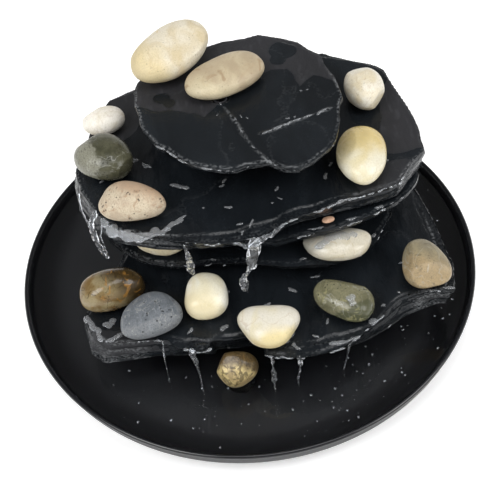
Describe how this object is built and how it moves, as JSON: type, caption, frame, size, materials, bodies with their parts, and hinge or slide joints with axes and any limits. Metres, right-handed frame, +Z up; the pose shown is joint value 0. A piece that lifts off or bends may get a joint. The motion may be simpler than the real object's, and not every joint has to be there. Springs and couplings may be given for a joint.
{
  "type": "tabletop water fountain",
  "caption": "Tabletop fountain: broken slate slabs stacked above a round black dish of water, with loose river pebbles and a hidden submersible pump.",
  "frame": {"origin": "on the table under the middle of the dish, level with the underside of its rubber feet", "axes": "+Z up, -Y towards the front of the fountain, +X to the right when seen from the front"},
  "size_m": [0.43, 0.43, 0.2396],
  "materials": {
    "tray_plastic": "matte black moulded plastic",
    "rubber_black": "black rubber",
    "slate_wet": "wet dark slate, split and broken edges",
    "slate_dark": "dark slate blocks",
    "pebble_light": "smooth cream and ivory river pebble",
    "pebble_tan": "smooth tan river pebble",
    "pebble_grey": "smooth grey river pebble",
    "pebble_brown": "polished brown banded pebble",
    "pump_plastic": "black moulded plastic",
    "tube_plastic": "smoky flexible plastic tube",
    "rotor_ferrite": "sintered ferrite magnet",
    "impeller_plastic": "white moulded plastic",
    "shaft_ceramic": "polished white ceramic"
  },
  "bodies": {
    "base": {"tray": "tray_plastic", "tray_foot_1": "rubber_black", "tray_foot_2": "rubber_black", "tray_foot_3": "rubber_black", "tray_foot_4": "rubber_black", "ledge_stone": "slate_dark", "pump_body": "pump_plastic", "volute_cover": "pump_plastic", "front_bush": "rubber_black", "rear_bush": "rubber_black", "impeller_shaft": "shaft_ceramic", "cord_gland": "rubber_black", "suction_cup_1": "rubber_black", "suction_cup_2": "rubber_black", "suction_cup_3": "rubber_black", "suction_cup_4": "rubber_black"},
    "stack": {"lower_slab": "slate_wet", "mid_slab": "slate_wet", "thin_slab": "slate_wet", "upper_slab": "slate_wet", "top_slab": "slate_wet", "riser_tube": "tube_plastic", "leg_front_left": "slate_dark", "leg_front_right": "slate_dark", "leg_rear_left": "slate_dark", "leg_rear_right": "slate_dark", "lower_spacer_left": "slate_dark", "lower_spacer_right": "slate_dark", "lower_spacer_rear": "slate_dark", "mid_spacer_front": "slate_dark", "mid_spacer_right": "slate_dark", "tall_spacer_left": "slate_dark", "tall_spacer_rear": "slate_dark", "shim_left": "slate_dark", "shim_right": "slate_dark", "top_spacer_left": "slate_dark", "top_spacer_right": "slate_dark", "top_spacer_rear": "slate_dark"},
    "rotor": {"rotor_magnet": "rotor_ferrite", "impeller": "impeller_plastic"},
    "intake": {"intake_cover": "pump_plastic"},
    "regulator": {"flow_knob": "pump_plastic", "flow_shutter": "pump_plastic"},
    "pebble_ivory_long": {"pebble_ivory_long": "pebble_light"},
    "pebble_tan_oval": {"pebble_tan_oval": "pebble_tan"},
    "pebble_ivory_round": {"pebble_ivory_round": "pebble_light"},
    "pebble_yellow_egg": {"pebble_yellow_egg": "pebble_light"},
    "pebble_white_small": {"pebble_white_small": "pebble_light"},
    "pebble_grey_green": {"pebble_grey_green": "pebble_grey"},
    "pebble_pink_beige": {"pebble_pink_beige": "pebble_light"},
    "pebble_cream_flat": {"pebble_cream_flat": "pebble_light"},
    "pebble_ivory_wet": {"pebble_ivory_wet": "pebble_light"},
    "pebble_tan_corner": {"pebble_tan_corner": "pebble_tan"},
    "pebble_brown_banded": {"pebble_brown_banded": "pebble_brown"},
    "pebble_blue_grey": {"pebble_blue_grey": "pebble_grey"},
    "pebble_cream_upright": {"pebble_cream_upright": "pebble_light"},
    "pebble_cream_wide": {"pebble_cream_wide": "pebble_light"},
    "pebble_olive": {"pebble_olive": "pebble_grey"},
    "pebble_mottled": {"pebble_mottled": "pebble_brown"},
    "pebble_wedge": {"pebble_wedge": "pebble_tan"}
  },
  "joints": [
    {"name": "stack_lift", "type": "slide", "parent": "base", "child": "stack", "axis": [0, 0, 1], "range_m": [0, 0.06]},
    {"name": "impeller_spin", "type": "hinge", "parent": "base", "child": "rotor", "pos_m": [-0.008, 0.044, 0.0288], "axis": [0, 1, 0], "continuous": true},
    {"name": "intake_cover_slide", "type": "slide", "parent": "base", "child": "intake", "axis": [0, -1, 0], "range_m": [0, 0.03]},
    {"name": "flow_knob_turn", "type": "hinge", "parent": "intake", "child": "regulator", "pos_m": [-0.008, 0.026, 0.0288], "axis": [0, 1, 0], "range_deg": [0, 90]},
    {"name": "ivory_long_lift", "type": "slide", "parent": "stack", "child": "pebble_ivory_long", "axis": [0, 0, 1], "range_m": [0, 0.06]},
    {"name": "tan_oval_lift", "type": "slide", "parent": "stack", "child": "pebble_tan_oval", "axis": [0, 0, 1], "range_m": [0, 0.06]},
    {"name": "ivory_round_lift", "type": "slide", "parent": "stack", "child": "pebble_ivory_round", "axis": [0.2873, 0, 0.9578], "range_m": [0, 0.06]},
    {"name": "yellow_egg_lift", "type": "slide", "parent": "stack", "child": "pebble_yellow_egg", "axis": [0.5747, -0.2873, 0.7663], "range_m": [0, 0.06]},
    {"name": "white_small_lift", "type": "slide", "parent": "stack", "child": "pebble_white_small", "axis": [-0.2873, 0, 0.9578], "range_m": [0, 0.06]},
    {"name": "grey_green_lift", "type": "slide", "parent": "stack", "child": "pebble_grey_green", "axis": [-0.3714, 0, 0.9285], "range_m": [0, 0.06]},
    {"name": "pink_beige_lift", "type": "slide", "parent": "stack", "child": "pebble_pink_beige", "axis": [-0.2762, -0.2762, 0.9206], "range_m": [0, 0.06]},
    {"name": "cream_flat_lift", "type": "slide", "parent": "stack", "child": "pebble_cream_flat", "axis": [-0.1917, -0.9585, 0.2109], "range_m": [0, 0.07]},
    {"name": "ivory_wet_lift", "type": "slide", "parent": "stack", "child": "pebble_ivory_wet", "axis": [0.0937, -0.9368, 0.3372], "range_m": [0, 0.055]},
    {"name": "tan_corner_lift", "type": "slide", "parent": "stack", "child": "pebble_tan_corner", "axis": [0.3651, -0.1826, 0.9129], "range_m": [0, 0.06]},
    {"name": "brown_banded_lift", "type": "slide", "parent": "stack", "child": "pebble_brown_banded", "axis": [-0.5571, -0.3714, 0.7428], "range_m": [0, 0.06]},
    {"name": "blue_grey_lift", "type": "slide", "parent": "stack", "child": "pebble_blue_grey", "axis": [-0.2592, -0.4319, 0.8639], "range_m": [0, 0.075]},
    {"name": "cream_upright_lift", "type": "slide", "parent": "stack", "child": "pebble_cream_upright", "axis": [0, -0.7071, 0.7071], "range_m": [0, 0.06]},
    {"name": "cream_wide_lift", "type": "slide", "parent": "stack", "child": "pebble_cream_wide", "axis": [0, -0.2873, 0.9578], "range_m": [0, 0.06]},
    {"name": "olive_lift", "type": "slide", "parent": "stack", "child": "pebble_olive", "axis": [0.169, -0.5071, 0.8452], "range_m": [0, 0.085]},
    {"name": "mottled_lift", "type": "slide", "parent": "base", "child": "pebble_mottled", "axis": [0, -0.2873, 0.9578], "range_m": [0, 0.06]},
    {"name": "wedge_lift", "type": "slide", "parent": "stack", "child": "pebble_wedge", "axis": [0.099, -0.9901, 0.099], "range_m": [0, 0.03]}
  ]
}
